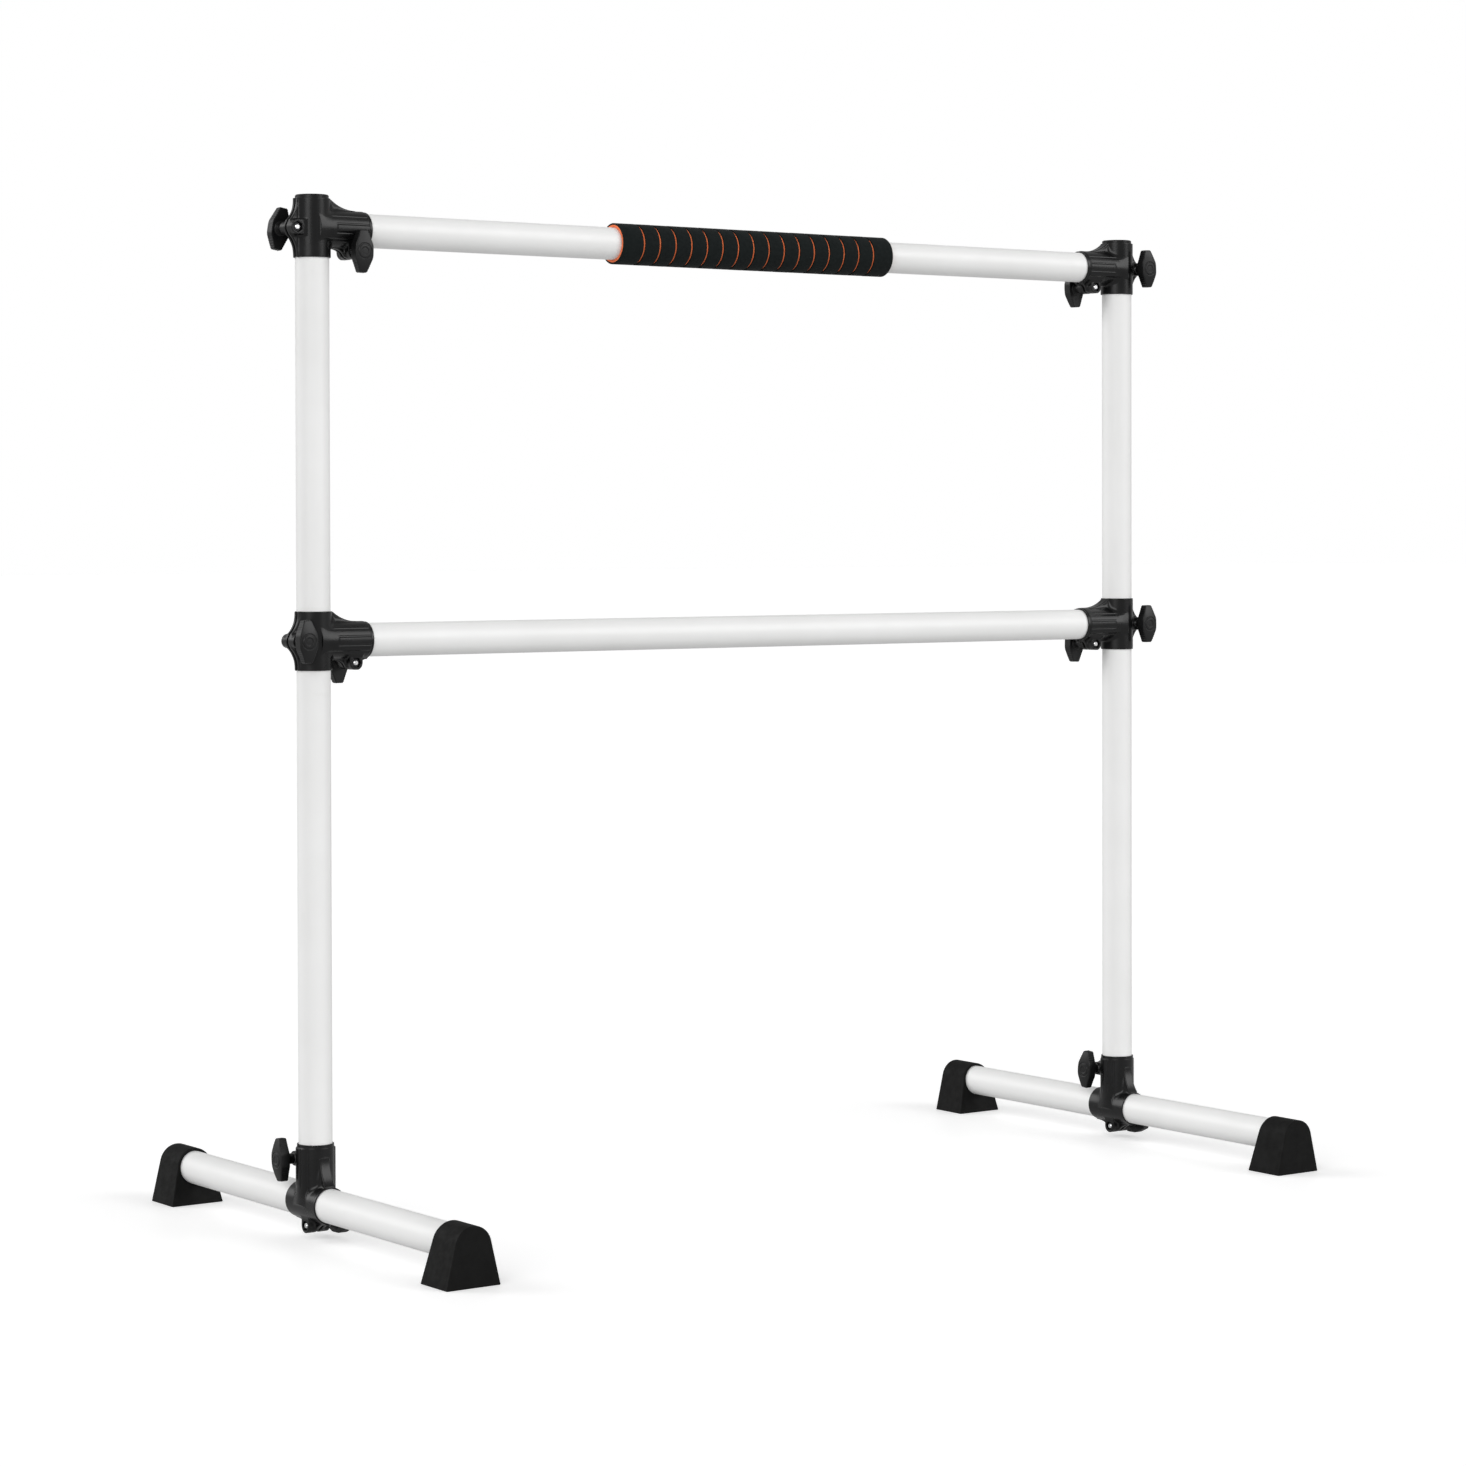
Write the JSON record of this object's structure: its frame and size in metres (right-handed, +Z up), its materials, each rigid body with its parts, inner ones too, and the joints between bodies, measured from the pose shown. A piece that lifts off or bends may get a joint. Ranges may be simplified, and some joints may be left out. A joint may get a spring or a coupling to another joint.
{
  "type": "double ballet barre",
  "caption": "Free-standing double barre: two height-adjustable horizontal bars clamped to two uprights on footed base tubes, the top bar with a foam grip.",
  "frame": {"origin": "on the floor, midway between the uprights and midway along the base tubes", "axes": "+X along the bars, towards the right-hand upright seen from the front; +Y from the front feet to the back feet; +Z up"},
  "size_m": [1.2652, 0.668, 1.166],
  "materials": {
    "white_paint": "satin white powder coat on steel tube",
    "black_plastic": "satin black moulded nylon",
    "knob_plastic": "satin black moulded plastic",
    "foot_rubber": "matte black moulded rubber",
    "foam_black": "matte closed-cell foam, fine grained",
    "foam_orange": "matte closed-cell foam, orange",
    "steel": "bright zinc-plated steel",
    "dark_steel": "blackened steel"
  },
  "bodies": {
    "frame": {"base_tube_left": "white_paint", "base_tube_right": "white_paint", "foot_left_front": "foot_rubber", "foot_left_back": "foot_rubber", "foot_right_front": "foot_rubber", "foot_right_back": "foot_rubber", "upright_left": "white_paint", "upright_right": "white_paint", "upright_cap_left": "black_plastic", "upright_cap_right": "black_plastic", "tee_base_left": "black_plastic", "tee_base_right": "black_plastic", "base_nuts": "dark_steel"},
    "top_barre": {"top_bar": "white_paint", "grip_core": "foam_orange", "grip_skin": "foam_black", "tee_top_left": "black_plastic", "tee_top_right": "black_plastic", "top_nuts": "dark_steel"},
    "low_barre": {"low_bar": "white_paint", "tee_low_left": "black_plastic", "tee_low_right": "black_plastic", "low_nuts": "dark_steel"},
    "top_left_collar_washer": {"washer_top_left_collar": "steel"},
    "top_left_collar_knob": {"knob_top_left_collar": "knob_plastic", "bolt_top_left_collar": "steel"},
    "top_left_socket_washer": {"washer_top_left_socket": "steel"},
    "top_left_socket_knob": {"knob_top_left_socket": "knob_plastic", "bolt_top_left_socket": "steel"},
    "top_right_collar_washer": {"washer_top_right_collar": "steel"},
    "top_right_collar_knob": {"knob_top_right_collar": "knob_plastic", "bolt_top_right_collar": "steel"},
    "top_right_socket_washer": {"washer_top_right_socket": "steel"},
    "top_right_socket_knob": {"knob_top_right_socket": "knob_plastic", "bolt_top_right_socket": "steel"},
    "low_left_collar_washer": {"washer_low_left_collar": "steel"},
    "low_left_collar_knob": {"knob_low_left_collar": "knob_plastic", "bolt_low_left_collar": "steel"},
    "low_left_socket_washer": {"washer_low_left_socket": "steel"},
    "low_left_socket_knob": {"knob_low_left_socket": "knob_plastic", "bolt_low_left_socket": "steel"},
    "low_right_collar_washer": {"washer_low_right_collar": "steel"},
    "low_right_collar_knob": {"knob_low_right_collar": "knob_plastic", "bolt_low_right_collar": "steel"},
    "low_right_socket_washer": {"washer_low_right_socket": "steel"},
    "low_right_socket_knob": {"knob_low_right_socket": "knob_plastic", "bolt_low_right_socket": "steel"},
    "base_left_collar_washer": {"washer_base_left_collar": "steel"},
    "base_left_collar_knob": {"knob_base_left_collar": "knob_plastic", "bolt_base_left_collar": "steel"},
    "base_left_socket_washer": {"washer_base_left_socket": "steel"},
    "base_left_socket_knob": {"knob_base_left_socket": "knob_plastic", "bolt_base_left_socket": "steel"},
    "base_right_collar_washer": {"washer_base_right_collar": "steel"},
    "base_right_collar_knob": {"knob_base_right_collar": "knob_plastic", "bolt_base_right_collar": "steel"},
    "base_right_socket_washer": {"washer_base_right_socket": "steel"},
    "base_right_socket_knob": {"knob_base_right_socket": "knob_plastic", "bolt_base_right_socket": "steel"}
  },
  "joints": [
    {"name": "top_barre_height", "type": "slide", "parent": "frame", "child": "top_barre", "axis": [0, 0, 1], "range_m": [-0.28, 0]},
    {"name": "low_barre_height", "type": "slide", "parent": "frame", "child": "low_barre", "axis": [0, 0, 1], "range_m": [-0.4, 0.075]},
    {"name": "top_left_collar_travel", "type": "slide", "parent": "top_barre", "child": "top_left_collar_washer", "axis": [0, 1, 0], "range_m": [0, 0.002]},
    {"name": "top_left_collar_turn", "type": "hinge", "parent": "top_left_collar_washer", "child": "top_left_collar_knob", "pos_m": [-0.6203, 0, 1.129], "axis": [0, 1, 0], "range_deg": [0, 720]},
    {"name": "top_left_socket_travel", "type": "slide", "parent": "top_barre", "child": "top_left_socket_washer", "axis": [0, -1, 0], "range_m": [0, 0.002]},
    {"name": "top_left_socket_turn", "type": "hinge", "parent": "top_left_socket_washer", "child": "top_left_socket_knob", "pos_m": [-0.548, 0, 1.1037], "axis": [0, -1, 0], "range_deg": [0, 720]},
    {"name": "top_right_collar_travel", "type": "slide", "parent": "top_barre", "child": "top_right_collar_washer", "axis": [0, -1, 0], "range_m": [0, 0.002]},
    {"name": "top_right_collar_turn", "type": "hinge", "parent": "top_right_collar_washer", "child": "top_right_collar_knob", "pos_m": [0.6203, 0, 1.129], "axis": [0, -1, 0], "range_deg": [0, 720]},
    {"name": "top_right_socket_travel", "type": "slide", "parent": "top_barre", "child": "top_right_socket_washer", "axis": [0, 1, 0], "range_m": [0, 0.002]},
    {"name": "top_right_socket_turn", "type": "hinge", "parent": "top_right_socket_washer", "child": "top_right_socket_knob", "pos_m": [0.548, 0, 1.1037], "axis": [0, 1, 0], "range_deg": [0, 720]},
    {"name": "low_left_collar_travel", "type": "slide", "parent": "low_barre", "child": "low_left_collar_washer", "axis": [0, -1, 0], "range_m": [0, 0.002]},
    {"name": "low_left_collar_turn", "type": "hinge", "parent": "low_left_collar_washer", "child": "low_left_collar_knob", "pos_m": [-0.6203, 0, 0.67], "axis": [0, -1, 0], "range_deg": [0, 720]},
    {"name": "low_left_socket_travel", "type": "slide", "parent": "low_barre", "child": "low_left_socket_washer", "axis": [0, 1, 0], "range_m": [0, 0.002]},
    {"name": "low_left_socket_turn", "type": "hinge", "parent": "low_left_socket_washer", "child": "low_left_socket_knob", "pos_m": [-0.548, 0, 0.6447], "axis": [0, 1, 0], "range_deg": [0, 720]},
    {"name": "low_right_collar_travel", "type": "slide", "parent": "low_barre", "child": "low_right_collar_washer", "axis": [0, -1, 0], "range_m": [0, 0.002]},
    {"name": "low_right_collar_turn", "type": "hinge", "parent": "low_right_collar_washer", "child": "low_right_collar_knob", "pos_m": [0.6203, 0, 0.67], "axis": [0, -1, 0], "range_deg": [0, 720]},
    {"name": "low_right_socket_travel", "type": "slide", "parent": "low_barre", "child": "low_right_socket_washer", "axis": [0, 1, 0], "range_m": [0, 0.002]},
    {"name": "low_right_socket_turn", "type": "hinge", "parent": "low_right_socket_washer", "child": "low_right_socket_knob", "pos_m": [0.548, 0, 0.6447], "axis": [0, 1, 0], "range_deg": [0, 720]},
    {"name": "base_left_collar_travel", "type": "slide", "parent": "frame", "child": "base_left_collar_washer", "axis": [1, 0, 0], "range_m": [0, 0.002]},
    {"name": "base_left_collar_turn", "type": "hinge", "parent": "base_left_collar_washer", "child": "base_left_collar_knob", "pos_m": [-0.595, 0, 0.0177], "axis": [1, 0, 0], "range_deg": [0, 720]},
    {"name": "base_left_socket_travel", "type": "slide", "parent": "frame", "child": "base_left_socket_washer", "axis": [-1, 0, 0], "range_m": [0, 0.002]},
    {"name": "base_left_socket_turn", "type": "hinge", "parent": "base_left_socket_washer", "child": "base_left_socket_knob", "pos_m": [-0.595, 0.0253, 0.09], "axis": [-1, 0, 0], "range_deg": [0, 720]},
    {"name": "base_right_collar_travel", "type": "slide", "parent": "frame", "child": "base_right_collar_washer", "axis": [1, 0, 0], "range_m": [0, 0.002]},
    {"name": "base_right_collar_turn", "type": "hinge", "parent": "base_right_collar_washer", "child": "base_right_collar_knob", "pos_m": [0.595, 0, 0.0177], "axis": [1, 0, 0], "range_deg": [0, 720]},
    {"name": "base_right_socket_travel", "type": "slide", "parent": "frame", "child": "base_right_socket_washer", "axis": [-1, 0, 0], "range_m": [0, 0.002]},
    {"name": "base_right_socket_turn", "type": "hinge", "parent": "base_right_socket_washer", "child": "base_right_socket_knob", "pos_m": [0.595, 0.0253, 0.09], "axis": [-1, 0, 0], "range_deg": [0, 720]}
  ],
  "couplings": [
    {"joint": "top_left_collar_travel", "follows": "top_left_collar_turn", "m_per_rad": 0.00015915},
    {"joint": "top_left_socket_travel", "follows": "top_left_socket_turn", "m_per_rad": 0.00015915},
    {"joint": "top_right_collar_travel", "follows": "top_right_collar_turn", "m_per_rad": 0.00015915},
    {"joint": "top_right_socket_travel", "follows": "top_right_socket_turn", "m_per_rad": 0.00015915},
    {"joint": "low_left_collar_travel", "follows": "low_left_collar_turn", "m_per_rad": 0.00015915},
    {"joint": "low_left_socket_travel", "follows": "low_left_socket_turn", "m_per_rad": 0.00015915},
    {"joint": "low_right_collar_travel", "follows": "low_right_collar_turn", "m_per_rad": 0.00015915},
    {"joint": "low_right_socket_travel", "follows": "low_right_socket_turn", "m_per_rad": 0.00015915},
    {"joint": "base_left_collar_travel", "follows": "base_left_collar_turn", "m_per_rad": 0.00015915},
    {"joint": "base_left_socket_travel", "follows": "base_left_socket_turn", "m_per_rad": 0.00015915},
    {"joint": "base_right_collar_travel", "follows": "base_right_collar_turn", "m_per_rad": 0.00015915},
    {"joint": "base_right_socket_travel", "follows": "base_right_socket_turn", "m_per_rad": 0.00015915}
  ]
}
